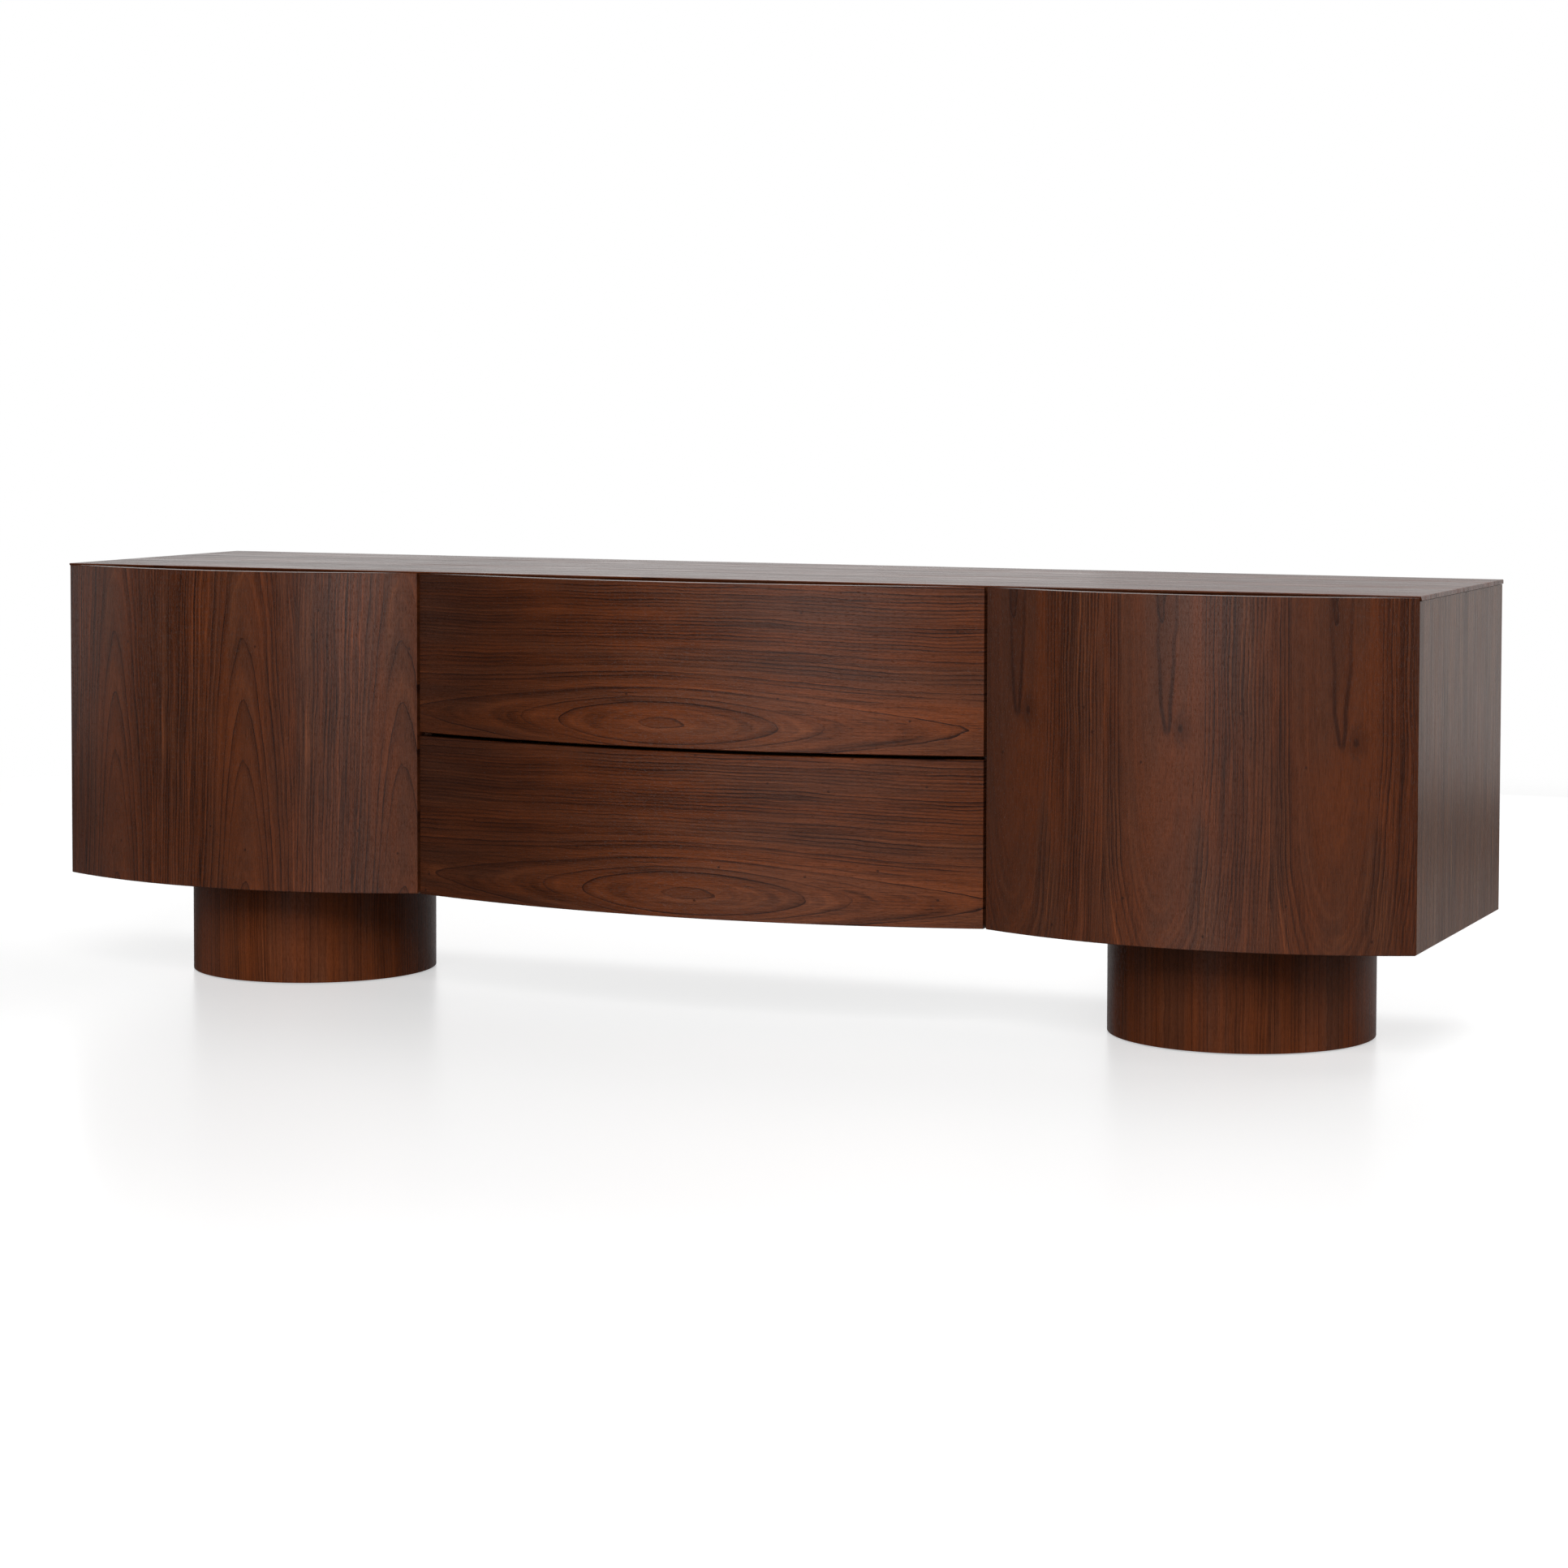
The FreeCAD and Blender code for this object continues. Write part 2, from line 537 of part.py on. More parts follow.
def make_drums():
    disc_r = DRUM_R - DRUM_WALL
    shell = post(DRUM_X, DRUM_Y, DRUM_LIFT, CASE_BOTTOM_Z, DRUM_R)
    shell = shell.cut(post(DRUM_X, DRUM_Y, DRUM_LIFT, CASE_BOTTOM_Z, disc_r))
    disc_z = CASE_BOTTOM_Z - BOARD
    holes = group([post(x, y, disc_z, CASE_BOTTOM_Z, BOLT_HOLE_R) for x, y in bolt_places()])
    top_disc = post(DRUM_X, DRUM_Y, disc_z, CASE_BOTTOM_Z, disc_r).cut(holes)
    base_disc = post(DRUM_X, DRUM_Y, PAD_HEIGHT, PAD_HEIGHT + BOARD, disc_r)
    for side, place in (("right", lambda s: s), ("left", mirrored)):
        save("drum_shell_" + side, place(shell))
        save("drum_top_disc_" + side, place(top_disc))
        save("drum_base_disc_" + side, place(base_disc))
    save("floor_pads", group([post(x, y, 0, PAD_HEIGHT, PAD_R) for x, y in ring_places(PAD_RING_R)]))


def hexagon(x, y, radius):
    return [(x + radius * math.cos(math.radians(60 * i)), y + radius * math.sin(math.radians(60 * i)))
            for i in range(6)]


def make_drum_bolts():
    disc_z = CASE_BOTTOM_Z - BOARD
    bolts = []
    nuts = []
    for x, y in bolt_places():
        shank = post(x, y, disc_z - NUT - 2, FLOOR_BOARD_TOP, BOLT_R)
        head = post(x, y, FLOOR_BOARD_TOP, FLOOR_BOARD_TOP + BOLT_HEAD, BOLT_HEAD_R)
        socket = prism_z(hexagon(x, y, 2.9), FLOOR_BOARD_TOP + 1.2, FLOOR_BOARD_TOP + BOLT_HEAD)
        bolts.append(head.fuse(shank).cut(socket))
        nut = prism_z(hexagon(x, y, NUT_R), disc_z - NUT, disc_z)
        nuts.append(nut.cut(post(x, y, disc_z - NUT, disc_z, NUT_BORE_R)))
    save("drum_bolts", group(bolts))
    save("drum_nuts", group(nuts))


# ---- Build -----------------------------------------------------------------
os.makedirs("parts", exist_ok=True)
make_top_panel()
make_bottom_panel()
make_side_panels()
make_partitions()
make_back_panels()
make_back_screws()
make_cable_grommets()
make_shelves()
make_catches_and_bumpers()
make_hinges()
make_doors()
make_drawers()
make_drums()
make_drum_bolts()
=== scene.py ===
"""A low walnut media cabinet: bowed doors and drawers in figured veneer, on two round drums."""

import collections
import math

import bpy
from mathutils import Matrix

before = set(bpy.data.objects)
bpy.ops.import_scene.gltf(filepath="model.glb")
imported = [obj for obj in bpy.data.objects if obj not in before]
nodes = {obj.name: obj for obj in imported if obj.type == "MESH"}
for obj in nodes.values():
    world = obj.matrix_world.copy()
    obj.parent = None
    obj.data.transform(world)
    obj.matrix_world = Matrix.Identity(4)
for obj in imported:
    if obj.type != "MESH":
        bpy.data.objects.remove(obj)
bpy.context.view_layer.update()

MM = 0.001
WHITE = (1.0, 1.0, 1.0, 1.0)
scene = bpy.context.scene


# ---------------------------------------------------------------- camera

CAMERA_PLACE = (2.1415, -4.851, 0.8606)
CAMERA_TURN = (87.188, -0.14, 23.342)       # degrees
LENS = 87.065                               # mm
SENSOR = 36.0                               # mm
LENS_SHIFT = -0.1352                        # share of the frame

camera_data = bpy.data.cameras.new("camera")
camera_data.lens = LENS
camera_data.sensor_width = SENSOR
camera_data.shift_y = LENS_SHIFT
camera = bpy.data.objects.new("camera", camera_data)
camera.location = CAMERA_PLACE
camera.rotation_euler = [math.radians(angle) for angle in CAMERA_TURN]
scene.collection.objects.link(camera)
scene.camera = camera
scene.view_settings.view_transform = "Standard"


# ---------------------------------------------------------------- room and lights

ROOM_GLOW = 0.03
BACKDROP_GLOW = 1.0

# The room is dim, with a white backdrop behind the object: the camera sees white all round.
world = bpy.data.worlds.new("studio")
world.use_nodes = True
sky = world.node_tree
room = sky.nodes["Background"]
room.inputs["Color"].default_value = WHITE
room.inputs["Strength"].default_value = ROOM_GLOW
backdrop = sky.nodes.new("ShaderNodeBackground")
backdrop.inputs["Color"].default_value = WHITE
backdrop.inputs["Strength"].default_value = BACKDROP_GLOW
ray_kind = sky.nodes.new("ShaderNodeLightPath")
choice = sky.nodes.new("ShaderNodeMixShader")
sky.links.new(ray_kind.outputs["Is Camera Ray"], choice.inputs[0])
sky.links.new(room.outputs[0], choice.inputs[1])
sky.links.new(backdrop.outputs[0], choice.inputs[2])
sky.links.new(choice.outputs[0], sky.nodes["World Output"].inputs[0])
scene.world = world


def softbox(name, place, target, size, glow):
    """A soft rectangular light; glow is its brightness, where 1 is white paper."""
    lamp = bpy.data.lights.new(name, "AREA")
    lamp.shape = "RECTANGLE"
    lamp.size, lamp.size_y = size
    lamp.energy = glow * math.pi * size[0] * size[1]
    box = bpy.data.objects.new(name, lamp)
    box.location = place
    ray = [end - start for end, start in zip(target, place)]
    level_reach = math.hypot(ray[0], ray[1])
    box.rotation_euler = (math.atan2(level_reach, -ray[2]), 0.0, math.atan2(-ray[0], ray[1]))
    box.visible_camera = False
    scene.collection.objects.link(box)


softbox("key_box", place=(1.25, -4.1, 2.8), target=(0.0, -0.2, 0.3), size=(2.0, 2.0), glow=10.5)
softbox("front_box", place=(-0.1, -4.0, 1.2), target=(-0.1, 0.0, 0.5), size=(1.7, 1.8), glow=3.0)
softbox("left_box", place=(-3.4, -0.6, 1.0), target=(0.0, -0.3, 0.5), size=(2.0, 1.8), glow=0.6)
softbox("right_box", place=(3.6, -0.4, 1.3), target=(1.0, 0.0, 0.4), size=(1.6, 1.6), glow=4.2)
softbox("back_box", place=(0.8, 3.1, 1.3), target=(0.8, 0.0, 1.3), size=(9.0, 2.6), glow=0.65)
softbox("back_left_box", place=(-2.6, 3.0, 1.3), target=(-2.6, 0.0, 1.3), size=(4.2, 2.6), glow=0.22)
softbox("sky_box", place=(0.8, 1.6, 3.2), target=(0.5, 1.2, 0.0), size=(4.0, 2.4), glow=2.0)


# ---------------------------------------------------------------- node helpers


class Tree:
    """Adds shader nodes to one material and wires them; any argument is a number or a socket."""

    def __init__(self, name):
        self.material = bpy.data.materials.new(name)
        self.material.use_nodes = True
        self.tree = self.material.node_tree
        self.shader = self.tree.nodes["Principled BSDF"]

    def feed(self, socket, value):
        if isinstance(value, bpy.types.NodeSocket):
            self.tree.links.new(value, socket)
        else:
            socket.default_value = value

    def math(self, operation, first, second=0.0):
        node = self.tree.nodes.new("ShaderNodeMath")
        node.operation = operation
        self.feed(node.inputs[0], first)
        self.feed(node.inputs[1], second)
        return node.outputs[0]

    def add(self, *terms):
        total = terms[0]
        for term in terms[1:]:
            total = self.math("ADD", total, term)
        return total

    def times(self, *factors):
        product = factors[0]
        for factor in factors[1:]:
            product = self.math("MULTIPLY", product, factor)
        return product

    def minus(self, first, second):
        return self.math("SUBTRACT", first, second)

    def largest(self, *values):
        best = values[0]
        for value in values[1:]:
            best = self.math("MAXIMUM", best, value)
        return best

    def square(self, value):
        return self.math("MULTIPLY", value, value)

    def root(self, *terms):
        """Square root of the sum of the terms."""
        return self.math("SQRT", self.add(*terms))

    def vector(self, x, y, z):
        node = self.tree.nodes.new("ShaderNodeCombineXYZ")
        for socket, value in zip(node.inputs, (x, y, z)):
            self.feed(socket, value)
        return node.outputs[0]

    def place(self):
        """The point on the object, in metres, as three sockets."""
        coords = self.tree.nodes.new("ShaderNodeTexCoord")
        parts = self.tree.nodes.new("ShaderNodeSeparateXYZ")
        self.tree.links.new(coords.outputs["Object"], parts.inputs[0])
        return parts.outputs

    def noise(self, point, scale=1.0, detail=2.0, roughness=0.5):
        """Smooth noise about zero, from -0.5 to 0.5."""
        node = self.tree.nodes.new("ShaderNodeTexNoise")
        self.feed(node.inputs["Vector"], point)
        node.inputs["Scale"].default_value = scale
        node.inputs["Detail"].default_value = detail
        node.inputs["Roughness"].default_value = roughness
        return self.minus(node.outputs[0], 0.5)

    def chance(self, number):
        """A random value from 0 to 1 for each whole number."""
        node = self.tree.nodes.new("ShaderNodeTexWhiteNoise")
        node.noise_dimensions = "1D"
        self.feed(node.inputs["W"], number)
        return node.outputs["Value"]

    def ease(self, value, low, high, start=0.0, end=1.0):
        """A smooth step: start where the value is low, end where it is high."""
        node = self.tree.nodes.new("ShaderNodeMapRange")
        node.interpolation_type = "SMOOTHSTEP"
        for socket, number in zip(node.inputs, (value, low, high, start, end)):
            self.feed(socket, number)
        return node.outputs[0]

    def mix(self, factor, first, second):
        node = self.tree.nodes.new("ShaderNodeMix")
        node.data_type = "RGBA"
        self.feed(node.inputs[0], factor)
        for socket, value in ((node.inputs[6], first), (node.inputs[7], second)):
            if isinstance(value, bpy.types.NodeSocket):
                self.tree.links.new(value, socket)
            else:
                socket.default_value = (*value, 1.0)
        return node.outputs[2]

    def shade(self, factor, colour):
        """The colour, brightened or darkened by a factor."""
        node = self.tree.nodes.new("ShaderNodeVectorMath")
        node.operation = "SCALE"
        self.tree.links.new(colour, node.inputs[0])
        self.feed(node.inputs["Scale"], factor)
        return node.outputs[0]

    def bump(self, height, depth):
        node = self.tree.nodes.new("ShaderNodeBump")
        node.inputs["Distance"].default_value = depth
        self.tree.links.new(height, node.inputs["Height"])
        self.tree.links.new(node.outputs[0], self.shader.inputs["Normal"])


# ---------------------------------------------------------------- walnut veneer

Palette = collections.namedtuple("Palette", "base grey light dark pore")
WALNUT = Palette(
    base=(0.136, 0.0335, 0.0098),
    grey=(0.098, 0.0300, 0.0130),
    light=(0.215, 0.0640, 0.0200),
    dark=(0.026, 0.0068, 0.0032),
    pore=(0.034, 0.0090, 0.0042),
)
FADED = Palette(
    base=(0.146, 0.0480, 0.0120),
    grey=(0.108, 0.0400, 0.0160),
    light=(0.290, 0.1300, 0.0400),
    dark=(0.040, 0.0120, 0.0060),
    pore=(0.050, 0.0160, 0.0080),
)
BIRCH = Palette(
    base=(0.60, 0.40, 0.225),
    grey=(0.54, 0.36, 0.205),
    light=(0.68, 0.47, 0.28),
    dark=(0.40, 0.235, 0.12),
    pore=(0.42, 0.26, 0.14),
)

# Layers of noise: how fast each changes across and along the grain, per mm, and where in the noise it starts.
Layer = collections.namedtuple("Layer", "across along start detail roughness", defaults=(2.0, 0.5))
WANDER = Layer(0.013, 0.0042, 0.0)                      # growth rings drifting from their circles
SHIVER = Layer(0.085, 0.022, 0.0)                       # and shaking a little
PATCH = Layer(0.03, 0.007, 3.0)                         # places where the ring lines fade
BAND = Layer(0.055, 0.0013, 11.0, roughness=0.6)        # broad darker and lighter bands
HUE = Layer(0.020, 0.0030, 17.0)                        # redder and greyer wood
STREAK = Layer(0.42, 0.0026, 23.0, 3.0, 0.65)           # streaks as wide as a ring
THREAD = Layer(0.95, 0.008, 27.0, roughness=0.6)        # thread-thin streaks
FIBRE = Layer(1.5, 0.05, 29.0, roughness=0.7)
PORE = Layer(3.4, 0.13, 31.0, detail=1.0)
MOTTLE = Layer(0.05, 0.03, 37.0, detail=3.0)

LEAF_SLIP = 0.11                # how far apart neighbouring leaves lie in the noise
SIDE_SLIP = 0.02                # how fast streaks change from ring to ring, per mm

# Growth rings. Radii are in mm from the pith, and so are the widths of a line.
RING = 4.36
CROWN = (58.0, 96.0)            # inside is the crown of a figure, outside is straight wood
CROWN_SWAY = 2.5                # how far the rings drift at a crown; face["sway"] is added outside it
CROWN_SHIVER = 1.0
OUTER_SHIVER = 1.8              # added outside the crown
LINE_CORE = (0.7, 3.1)          # the dark line of the late wood, and its soft edge
LINE_SHADE = 13.0               # the shading that runs up to it
LINE_SHADE_STRENGTH = 0.42
LINE_CHANCE = (0.1, 0.8)        # random values that give the faintest line and the full one
CROWN_FAINTEST = 0.08           # the faintest line
OUTER_FAINTEST = 0.42           # added outside the crown
PATCH_RANGE = (-0.22, 0.08)     # noise that gives the palest stretch of a line and the full one
PATCH_PALEST = 0.45

# Noise over which each colour comes in, and how strongly
GREY_RANGE = (-0.16, 0.2)
LIGHT_RANGE = (0.04, 0.30)
DEEP_RANGE = (0.07, 0.30)
DEEP_STRENGTH = 0.62
PORE_RANGE = (0.06, 0.22)
PORE_STRENGTH = 0.5
CROWN_BUSY = 0.3                # how lively the streaks are at a crown
OUTER_BUSY = 0.85               # added outside the crown
PALE_SHARE = 0.45               # light streaks, as a share of that

# How much each layer brightens the wood
BAND_TONE = 1.3
STREAK_TONE = 1.9
THREAD_TONE = 1.8
FIBRE_TONE = 1.2
MOTTLE_TONE = 0.2

# How much each layer dulls the lacquer, and raises it
FIBRE_DULL = 0.08
MOTTLE_DULL = 0.05
FIBRE_RELIEF = 0.5
PORE_RELIEF = 0.9
LINE_RELIEF = 0.3

# Pin knots: cells per mm across and along, rows that have any, and size in cells
PIN_ACROSS = 0.012
PIN_ALONG = 0.009
PIN_CHANCE = (0.55, 0.6)
PIN_SIZE = (0.012, 0.024)
PIN_STRENGTH = 0.75

# What a layout leaves out
PLAIN_FACE = {"leaf": 0.0, "sway": 15.0, "taper": 0.0025, "line": 0.95, "tone": 1.0}


def grain(t, layer, across, along, start):
    """One layer of noise, drawn out along the grain."""
    point = t.vector(t.times(across, layer.across), t.times(along, layer.along), t.add(start, layer.start))
    return t.noise(point, detail=layer.detail, roughness=layer.roughness)


def rings(t, face, slip, away, ring_seed):
    """The growth rings as cut by this face: the wandering radius, and how dark each ring's line is."""
    s, along = face["across"], face["along"]
    # they wander more in the straight wood beside a figure than at its crown
    sway = t.times(grain(t, WANDER, s, along, slip), t.add(CROWN_SWAY, t.times(away, face["sway"])))
    shake = t.add(CROWN_SHIVER, t.times(away, OUTER_SHIVER))
    shiver = t.times(grain(t, SHIVER, s, along, slip), shake)
    grown = t.add(face["radius"], sway, shiver)
    count = t.times(grown, 1.0 / RING)
    ring = t.math("FLOOR", count)
    part = t.minus(count, ring)
    faintest = t.add(CROWN_FAINTEST, t.times(away, OUTER_FAINTEST))
    strong = t.ease(t.chance(t.add(ring, ring_seed)), *LINE_CHANCE, faintest, 1.0)
    patchy = t.ease(grain(t, PATCH, s, along, slip), *PATCH_RANGE, PATCH_PALEST, 1.0)
    # the late wood ends in a thin line, of one width however steeply the rings are cut
    steep = t.root(t.square(t.math("DIVIDE", face["off_axis"], face["radius"])), face["taper"])
    behind = t.math("DIVIDE", t.times(t.minus(1.0, part), RING), steep)
    core = t.ease(behind, *LINE_CORE, 1.0, 0.0)
    run_up = t.ease(behind, 0.0, LINE_SHADE, LINE_SHADE_STRENGTH, 0.0)
    return grown, t.times(t.largest(core, run_up), strong, patchy, face["line"])


def pin_knots(t, s, along, slip, seed):
    """A few dark marks the size of a pin head."""
    cells = t.tree.nodes.new("ShaderNodeTexVoronoi")
    cells.voronoi_dimensions = "2D"
    row = t.times(along, PIN_ALONG)
    t.feed(cells.inputs["Vector"], t.vector(t.add(t.times(s, PIN_ACROSS), slip), row, 0.0))
    cells.inputs["Scale"].default_value = 1.0
    chosen = t.ease(t.chance(t.add(t.math("FLOOR", row), seed)), *PIN_CHANCE)
    return t.times(t.ease(cells.outputs["Distance"], *PIN_SIZE, 1.0, 0.0), chosen)


def veneer(name, layout, seed, ring_seed=74.0, rough=0.28, relief=0.00010, palette=WALNUT,
           figure=1.0, contrast=1.0, shine=0.36, gleam=0.0):
    """One veneered face.

    layout gives, in mm, the place across and along the grain, the ring radius and how far off the
    figure's axis a point is. It may add the leaf, any marks and what PLAIN_FACE lists. ring_seed says
    which rings are dark. gleam is how much glossier the light streaks are.
    """
    t = Tree("veneer_" + name)
    face = {**PLAIN_FACE, **layout(t)}
    s, along = face["across"], face["along"]
    slip = t.add(t.times(face["leaf"], LEAF_SLIP), seed)
    away = t.ease(face["radius"], *CROWN)
    grown, ring_line = rings(t, face, slip, away, ring_seed)
    line = t.times(ring_line, figure)

    # bands and streaks follow the rings; fibres, pores and mottle follow the straight grain
    side_step = t.add(slip, t.times(s, SIDE_SLIP))
    band = grain(t, BAND, grown, along, side_step)
    streak = grain(t, STREAK, grown, along, side_step)
    hue = grain(t, HUE, s, along, slip)
    thread = grain(t, THREAD, s, along, slip)
    fibre = grain(t, FIBRE, s, along, slip)
    mottle = grain(t, MOTTLE, s, along, slip)
    pores = t.ease(grain(t, PORE, s, along, slip), *PORE_RANGE)
    busy = face["busy"] if "busy" in face else t.add(CROWN_BUSY, t.times(away, OUTER_BUSY))
    pale = face["pale"] if "pale" in face else t.times(busy, PALE_SHARE)

    greyness = t.ease(t.add(hue, t.times(band, 0.8)), *GREY_RANGE)
    colour = t.mix(greyness, palette.base, palette.grey)
    lightness = t.ease(t.add(streak, t.times(hue, 0.5)), *LIGHT_RANGE, 0.0, pale)
    colour = t.mix(lightness, colour, palette.light)
    bands = t.times(band, BAND_TONE * figure)
    streaks = t.add(bands, t.times(streak, STREAK_TONE), t.times(thread, THREAD_TONE))
    tone = t.add(t.times(streaks, busy), t.times(fibre, FIBRE_TONE), t.times(mottle, MOTTLE_TONE))
    colour = t.shade(t.times(t.add(1.0, t.times(tone, contrast)), face["tone"]), colour)
    troughs = t.times(t.add(streak, t.times(thread, 0.6)), busy, -1.0)
    colour = t.mix(t.ease(troughs, *DEEP_RANGE, 0.0, DEEP_STRENGTH * figure), colour, palette.dark)
    colour = t.mix(t.times(pores, PORE_STRENGTH), colour, palette.pore)
    colour = t.mix(line, colour, palette.dark)
    pins = pin_knots(t, s, along, slip, seed)
    colour = t.mix(t.times(pins, PIN_STRENGTH), colour, palette.dark)
    if "mark" in face:
        colour = t.mix(face["mark"], colour, palette.dark)

    t.tree.links.new(colour, t.shader.inputs["Base Color"])
    glint = t.times(t.add(streak, thread), -gleam)
    dull = t.add(t.times(fibre, FIBRE_DULL), t.times(mottle, MOTTLE_DULL), glint)
    t.feed(t.shader.inputs["Roughness"], t.add(rough, dull))
    t.shader.inputs["Specular IOR Level"].default_value = shine
    sunk = t.add(t.times(pores, PORE_RELIEF), t.times(line, LINE_RELIEF))
    t.bump(t.minus(t.times(fibre, FIBRE_RELIEF), sunk), relief)
    return t.material


# ---------------------------------------------------------------- how the veneer lies on each face

DOOR_X = 0.71025                # metres: crest and radius of the bowed fronts
DOOR_RADIUS = 0.64494
DRAWER_RADIUS = 1.34344
DRUM_X = 0.711
DRUM_Y = 0.010
DRUM_RADIUS = 178.5             # mm from here on
DRUM_LEAVES = 5
TOP_EDGE = 598.0
BOTTOM_EDGE = 148.0
UPPER_DRAWER_EDGE = 375.45


def arc(t, x, centre, radius):
    """Arc length in mm round an upright bowed face, from its crest."""
    turn = t.math("ARCSINE", t.times(t.minus(x, centre), 1.0 / radius))
    return t.times(turn, radius / MM)


def leaves(t, across, pitch, middle):
    """Splits a face into slip-matched leaves; gives each leaf's number and the place from its middle."""
    leaf = t.math("FLOOR", t.times(t.minus(across, middle - pitch / 2), 1.0 / pitch))
    return leaf, t.minus(across, t.add(t.times(leaf, pitch), middle))


def left_door(t):
    """Crown-cut leaves: a row of upright cathedrals."""
    leaf_width, leaf_middle = 232.0, 8.0
    axis = 37.0
    crown, taper = 70.0, 0.05
    x, _, z = t.place()
    depth = t.minus(TOP_EDGE, t.times(z, 1 / MM))
    leaf, s = leaves(t, arc(t, x, -DOOR_X, DOOR_RADIUS), leaf_width, leaf_middle)
    off_axis = t.minus(s, axis)
    pith = t.minus(crown, t.times(depth, taper))
    return {
        "across": s,
        "along": depth,
        "leaf": leaf,
        "off_axis": off_axis,
        "radius": t.root(t.square(off_axis), t.square(pith)),
    }


def knot_marks(t, s, up, leaf):
    """A knot, and the dark hairpin of rings that opens upwards from beside it."""
    knot_s, knot_up = 26.0, 281.0
    hairpin_end = 272.0
    axis = -7.0
    knot = t.root(t.square(t.minus(s, knot_s)), t.square(t.times(t.minus(up, knot_up), 0.6)))
    core = t.ease(knot, 2.0, 6.0, 0.85, 0.0)
    halo = t.ease(knot, 4.0, 22.0, 0.4, 0.0)
    swirl = t.ease(knot, 2.0, 16.0, 9.0, 0.0)
    bend = t.times(t.noise(t.vector(0.0, t.times(up, 0.02), leaf)), 9.0)
    off_axis = t.math("ABSOLUTE", t.add(s, bend, axis))
    spread = t.math("SQRT", t.largest(t.times(t.minus(up, hairpin_end), 0.95), 0.01))
    off_curve = t.math("ABSOLUTE", t.minus(off_axis, spread))
    above = t.ease(up, hairpin_end - 6.0, hairpin_end + 8.0)
    hairpin = t.times(t.ease(off_curve, 0.8, 5.0, 0.8, 0.0), above, t.ease(up, 300.0, 440.0, 1.0, 0.6))
    smear = t.times(t.ease(off_axis, 3.0, 22.0, 0.24, 0.0), above)
    return swirl, t.largest(core, halo, hairpin, smear)


def right_door(t):
    """Leaves with a dark hairpin and a knot beside its tip, above rounded arches that point down."""
    leaf_width, leaf_middle = 222.0, 4.0
    axis = -31.0
    leaf_drop = 13.0            # each leaf's knot sits this much lower than its left neighbour's
    crown = 45.0
    x, _, z = t.place()
    height = t.minus(t.times(z, 1 / MM), BOTTOM_EDGE)
    across = arc(t, x, DOOR_X, DOOR_RADIUS)
    leaf, s = leaves(t, across, leaf_width, leaf_middle)
    off_axis = t.minus(s, axis)
    arches = t.add(crown * crown, t.times(t.math("EXPONENT", t.times(height, -1.0 / 130.0)), 3000.0))
    swirl, mark = knot_marks(t, off_axis, t.add(height, t.times(leaf, leaf_drop)), leaf)
    # 0.66 is this door's darker wood; the dip at the left end, in the valley beside the drawers, is painted
    # shade
    valley_shade_lift = t.ease(across, -290.0, -130.0, 0.0, 0.30)
    # and the tone falls again towards the right end
    right_side = t.ease(across, 30.0, 140.0, 0.0, -0.14)
    return {
        "across": s,
        "along": height,
        "leaf": leaf,
        "off_axis": off_axis,
        "radius": t.add(t.root(t.square(off_axis), arches), swirl, 1.7),
        "taper": 0.006,
        "line": t.ease(height, 10.0, 110.0, 0.5, 0.95),
        "tone": t.add(0.66, valley_shade_lift, right_side),
        "mark": mark,
    }


def drawer(bottom, shift):
    """Lying grain: a long eye-shaped figure low on the left, and painted shade darkening the left end, in the
    valley beside the left door.
    """
    eye_height = 33.0
    eye_reach = 290.0
    crown = 40.0

    def layout(t):
        x, _, z = t.place()
        along = t.minus(arc(t, x, 0.0, DRAWER_RADIUS), shift)
        across = t.minus(t.times(z, 1 / MM), bottom + eye_height)
        reach = t.math("DIVIDE", along, t.root(1.0, t.square(t.times(along, 1.0 / eye_reach))))
        radius = t.root(t.square(across), t.square(t.times(reach, 0.2)), crown * crown)
        return {
            "across": across,
            "along": along,
            "off_axis": across,
            "radius": t.minus(radius, 1.4),
            "taper": 0.010,
            "sway": 9.0,
            "busy": 0.95,
            "pale": 0.2,
            "line": 1.0,
            # lighter wood than the doors towards the right; the darkening towards the left end is painted
            # shade of the valley
            "tone": t.ease(along, -330.0, 90.0, 0.63, 1.34),
        }
    return layout


def drum(centre, seam, tone):
    """Upright grain wrapped round the drum, with a butt seam."""
    axis = -30.0
    crown = 30.0

    def layout(t):
        x, y, z = t.place()
        turn = t.math("ARCTAN2", t.minus(x, centre), t.minus(DRUM_Y, y))
        leaf_width = 2.0 * math.pi * DRUM_RADIUS / DRUM_LEAVES
        leaf, s = leaves(t, t.times(turn, DRUM_RADIUS), leaf_width, seam)
        off_axis = t.minus(s, axis)
        return {
            "across": s,
            "along": t.times(z, 1 / MM),
            "leaf": leaf,
            "off_axis": off_axis,
            "radius": t.root(t.square(off_axis), crown * crown),
            "tone": tone,
        }
    return layout


def flat(across_axis, along_axis, pitch, taper=0.0, offset=0.0):
    """A flat board: grain along one axis, leaves side by side along another."""
    crown = 62.0

    def layout(t):
        parts = t.place()
        along = t.times(parts["XYZ".index(along_axis)], 1 / MM)
        leaf, s = leaves(t, t.times(parts["XYZ".index(across_axis)], 1 / MM), pitch, 0.0)
        off_axis = t.add(s, offset)
        pith = t.minus(crown, t.times(along, taper))
        return {
            "across": s,
            "along": along,
            "leaf": leaf,
            "off_axis": off_axis,
            "radius": t.root(t.square(off_axis), t.square(pith)),
            "taper": taper * taper + 0.0001,
        }
    return layout


# ---------------------------------------------------------------- veneered pieces

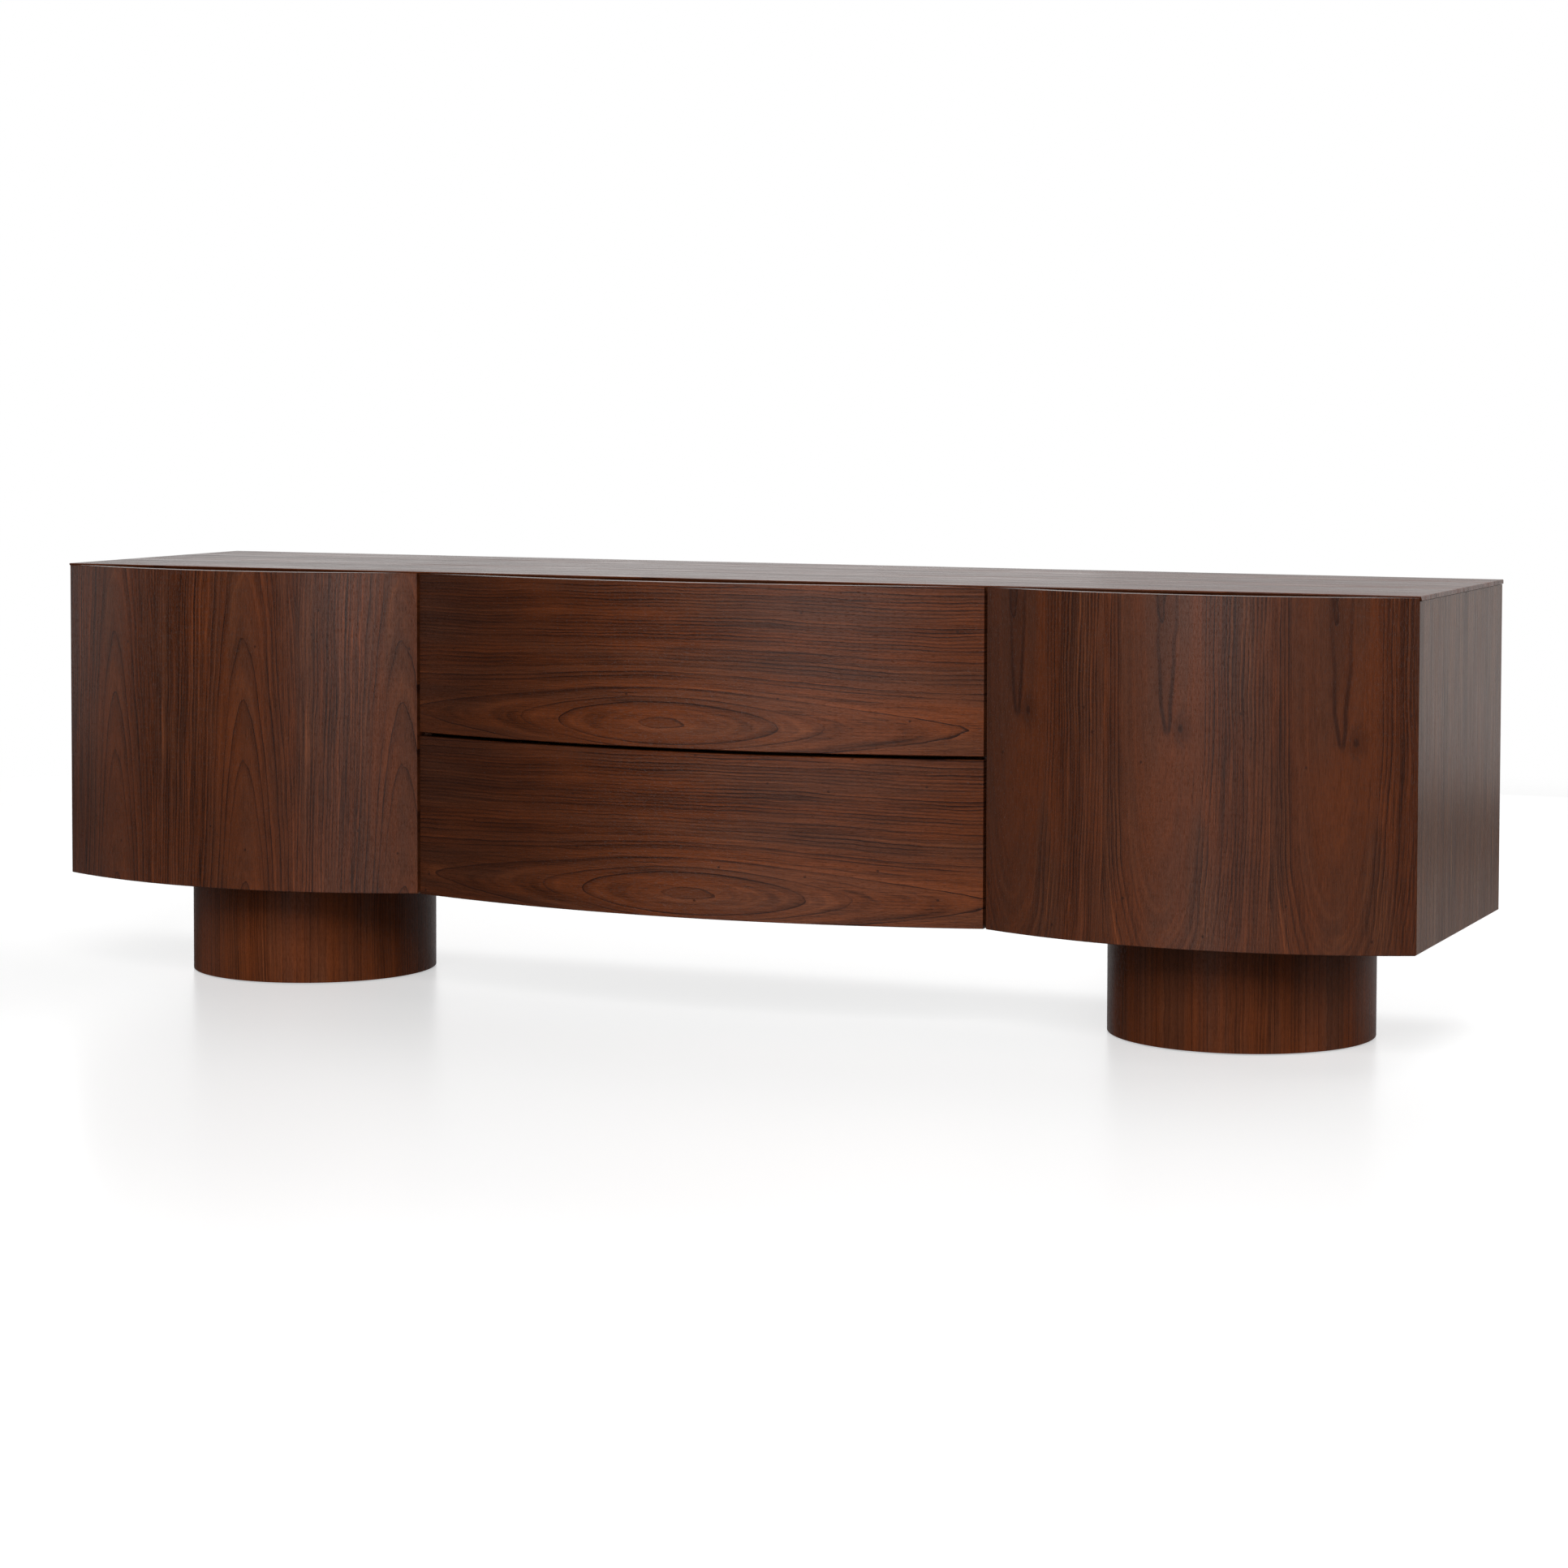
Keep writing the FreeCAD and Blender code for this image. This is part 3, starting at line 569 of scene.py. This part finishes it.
across_x = veneer("inside_back", flat("X", "Z", 230.0, 0.03), 47.0, rough=0.45)
across_y = veneer("inside_side", flat("Y", "Z", 210.0, 0.03), 43.0, rough=0.45)
lying = veneer("inside_shelf", flat("Y", "X", 190.0, 0.012), 51.0, rough=0.45)
birch = {"rough": 0.4, "palette": BIRCH, "figure": 0.5}
box_y = veneer("box_side", flat("Z", "Y", 200.0, 0.01), 61.0, **birch)
box_x = veneer("box_end", flat("Z", "X", 200.0, 0.01), 63.0, **birch)
box_flat = veneer("box_bottom", flat("Y", "X", 205.0, 0.01), 67.0, **birch)
polished = {"rough": 0.3, "relief": 0.00003}
top = veneer("top", flat("Y", "X", 177.0, 0.012), 31.0, 2632.0, contrast=0.9, gleam=0.6, **polished)
side_board = flat("Y", "Z", 240.0, 0.0, 130.0)
sides = veneer("side", side_board, 37.0, palette=FADED, shine=0.25, gleam=0.25, **polished)
wrapped = {"shine": 0.10, "contrast": 0.7, "figure": 0.7}

by_node = {
    "top_panel": top,
    "bottom_panel": lying,
    "back_panel_centre": across_x,
    "door_front_left": veneer("door_left", left_door, 3.0, 3499.0, contrast=1.2),
    "door_front_right": veneer("door_right", right_door, 8.0, 2999.0, contrast=0.95),
    "drawer_front_upper": veneer(
        "drawer_upper", drawer(UPPER_DRAWER_EDGE, -12.0), 14.0, 1837.0, shine=0.26, contrast=0.85),
    "drawer_front_lower": veneer(
        "drawer_lower", drawer(BOTTOM_EDGE, 26.0), 14.1, 1837.0, shine=0.22, contrast=0.85),
    "drum_shell_left": veneer("drum_left", drum(-DRUM_X, -90.0, 1.3), 21.0, 3132.0, **wrapped),
    "drum_shell_right": veneer("drum_right", drum(DRUM_X, -20.0, 1.0), 26.0, 3132.0, **wrapped),
}
for hand in ("left", "right"):
    by_node["door_back_" + hand] = across_x
    by_node["door_rails_" + hand] = across_x
    by_node["side_panel_" + hand] = sides
    by_node["partition_" + hand] = across_y
    by_node["back_panel_" + hand] = across_x
    by_node["shelf_" + hand] = lying
for level in ("upper", "lower"):
    by_node["drawer_spacers_" + level] = across_x
    by_node["drawer_box_front_" + level] = box_x
    by_node["drawer_back_" + level] = box_x
    by_node["drawer_side_left_" + level] = box_y
    by_node["drawer_side_right_" + level] = box_y
    by_node["drawer_bottom_" + level] = box_flat


# ---------------------------------------------------------------- board cores, metals, plastics, felt

ANY_WAY = (1.0, 1.0, 1.0)
ALONG_Y = (1.0, 0.04, 1.0)
ALONG_Z = (1.0, 1.0, 0.05)


def plain(name, colour, rough, metal=0.0, brush=ANY_WAY):
    """A turned, moulded or pressed part: fine noise in colour and gloss, drawn out the way it was brushed."""
    t = Tree(name)
    x, y, z = t.place()
    point = t.vector(*(t.times(place, stretch) for place, stretch in zip((x, y, z), brush)))
    fine = t.noise(point, scale=1400.0, detail=3.0)
    cloud = t.noise(t.vector(x, y, z), scale=60.0)
    darker = [channel * 0.8 for channel in colour]
    lighter = [min(1.0, channel * 1.18) for channel in colour]
    blend = t.mix(t.ease(t.add(fine, cloud), -0.35, 0.35), darker, lighter)
    t.tree.links.new(blend, t.shader.inputs["Base Color"])
    t.feed(t.shader.inputs["Roughness"], t.add(rough, t.times(fine, 0.2), t.times(cloud, 0.15)))
    t.shader.inputs["Metallic"].default_value = metal
    t.bump(fine, 0.00005)
    return t.material


by_slot = {
    "core_board": plain("fibreboard", (0.30, 0.20, 0.115), 0.85),
    "zinc_steel": plain("zinc_plate", (0.60, 0.61, 0.63), 0.34, 1.0, ALONG_Y),
    "hinge_metal": plain("satin_nickel", (0.50, 0.48, 0.45), 0.36, 1.0, ALONG_Z),
    "nickel_steel": plain("bright_nickel", (0.64, 0.61, 0.56), 0.26, 1.0),
    "black_steel": plain("black_oxide", (0.030, 0.030, 0.032), 0.42, 1.0),
    "black_plastic": plain("black_moulding", (0.028, 0.028, 0.028), 0.5),
    "soft_rubber": plain("clear_rubber", (0.46, 0.45, 0.43), 0.55),
    "felt": plain("grey_felt", (0.06, 0.055, 0.05), 0.95),
}

for name, node in nodes.items():
    for slot in node.material_slots:
        slot.material = by_node[name] if name in by_node else by_slot[slot.material.name]


# ---------------------------------------------------------------- floor

FLOOR_HALF = 4.0                # metres
FLOOR_DROP = 0.0005             # keeps the floor clear of the pads
FLOOR_FADE = (1.6, 3.6)         # metres from the middle, over which the floor fades into the backdrop
FLOOR_ROUGH = 0.28
FLOOR_GREY = 0.25               # as it lights the object
FLOOR_WHITE = 0.66              # as it looks
FLOOR_LIFT = 0.50               # glow that brings it up to the backdrop

floor_mesh = bpy.data.meshes.new("floor")
corners = [(x * FLOOR_HALF, y * FLOOR_HALF, 0.0) for x, y in ((-1, -1), (1, -1), (1, 1), (-1, 1))]
floor_mesh.from_pydata(corners, [], [(0, 1, 2, 3)])
floor = bpy.data.objects.new("floor", floor_mesh)
floor.location.z = -FLOOR_DROP
scene.collection.objects.link(floor)

t = Tree("studio_floor")
t.shader.inputs["Roughness"].default_value = FLOOR_ROUGH
t.shader.inputs["Emission Color"].default_value = WHITE
seen = t.tree.nodes.new("ShaderNodeLightPath").outputs["Is Camera Ray"]
t.feed(t.shader.inputs["Base Color"], t.mix(seen, [FLOOR_GREY] * 3, [FLOOR_WHITE] * 3))
t.feed(t.shader.inputs["Emission Strength"], t.times(seen, FLOOR_LIFT))
x, y, _ = t.place()
clear = t.tree.nodes.new("ShaderNodeBsdfTransparent")
blend = t.tree.nodes.new("ShaderNodeMixShader")
t.tree.links.new(t.ease(t.root(t.square(x), t.square(y)), *FLOOR_FADE), blend.inputs[0])
t.tree.links.new(t.shader.outputs[0], blend.inputs[1])
t.tree.links.new(clear.outputs[0], blend.inputs[2])
t.tree.links.new(blend.outputs[0], t.tree.nodes["Material Output"].inputs["Surface"])
floor_mesh.materials.append(t.material)
